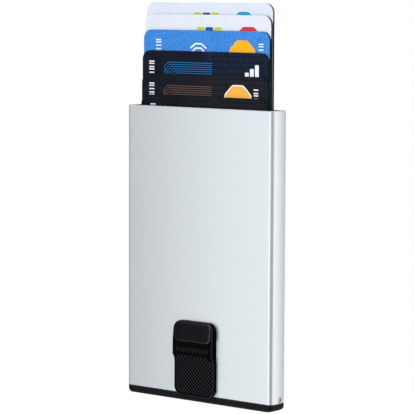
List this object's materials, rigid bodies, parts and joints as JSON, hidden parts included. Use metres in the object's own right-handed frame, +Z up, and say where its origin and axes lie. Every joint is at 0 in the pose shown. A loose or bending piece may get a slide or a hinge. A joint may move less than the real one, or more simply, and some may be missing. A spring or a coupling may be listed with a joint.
{
  "type": "card wallet",
  "caption": "Slim upright metal card wallet with cards fanned from its open mouth and a dotted thumb tab low on the front that swings a stepped lever inside.",
  "frame": {"origin": "centre of the case's flat bottom face, under the middle of the case's thickness", "axes": "+X to the right seen from the front, the face with the thumb tab looks along -Y, +Z up towards the open mouth"},
  "size_m": [0.063, 0.0112, 0.1356],
  "materials": {
    "anodised": "satin",
    "cap_black": "matte",
    "pin_steel": "satin",
    "rail_black": "matte",
    "felt": "matte",
    "spacer_black": "matte",
    "tab_black": "satin",
    "grip_rubber": "matte",
    "panel_black": "gloss",
    "carriage_steel": "satin",
    "spring_steel": "satin",
    "lever_grey": "satin",
    "card_black": "gloss",
    "card_brown": "gloss",
    "card_navy": "gloss",
    "card_blue": "gloss",
    "card_pale": "gloss",
    "card_white": "gloss"
  },
  "bodies": {
    "case": {"case_tube": "anodised", "bottom_cap": "cap_black", "cap_pin_left": "pin_steel", "cap_pin_right": "pin_steel", "guide_rail_left": "rail_black", "guide_rail_right": "rail_black", "rear_pad": "felt", "front_spacer": "spacer_black", "slot_liner": "rail_black", "pivot_bracket": "spacer_black", "pivot_pin": "pin_steel", "return_spring": "spring_steel"},
    "slider": {"thumb_tab": "tab_black", "grip_pad": "grip_rubber", "tab_panel": "panel_black", "carriage": "carriage_steel", "carriage_screws": "pin_steel", "drive_pin": "pin_steel"},
    "lever": {"fan_lever": "lever_grey"},
    "card_1": {"card_1": "card_black"},
    "card_2": {"card_2": "card_brown"},
    "card_3": {"card_3": "card_navy"},
    "card_4": {"card_4": "card_blue"},
    "card_5": {"card_5": "card_pale"},
    "card_6": {"card_6": "card_white"}
  },
  "joints": [
    {"name": "tab_slide", "type": "slide", "parent": "case", "child": "slider", "axis": [0, 0, 1], "range_m": [0, 0.0175], "stiffness_N_per_m": 60, "springref_m": -0.01, "deforming": ["return_spring"]},
    {"name": "lever_swing", "type": "hinge", "parent": "case", "child": "lever", "pos_m": [-0.0268, 0, 0.0094], "axis": [0, -1, 0], "range_deg": [0, 50]},
    {"name": "card_1_slide", "type": "slide", "parent": "case", "child": "card_1", "axis": [0, 0, 1], "range_m": [-0.0063, 0.0852]},
    {"name": "card_2_slide", "type": "slide", "parent": "case", "child": "card_2", "axis": [0, 0, 1], "range_m": [-0.0135, 0.078]},
    {"name": "card_3_slide", "type": "slide", "parent": "case", "child": "card_3", "axis": [0, 0, 1], "range_m": [-0.0214, 0.0701]},
    {"name": "card_4_slide", "type": "slide", "parent": "case", "child": "card_4", "axis": [0, 0, 1], "range_m": [-0.0285, 0.063]},
    {"name": "card_5_slide", "type": "slide", "parent": "case", "child": "card_5", "axis": [0, 0, 1], "range_m": [-0.0338, 0.0577]},
    {"name": "card_6_slide", "type": "slide", "parent": "case", "child": "card_6", "axis": [0, 0, 1], "range_m": [-0.0378, 0.0537]}
  ],
  "couplings": [
    {"joint": "lever_swing", "follows": "tab_slide", "rad_per_m": 49.866}
  ]
}
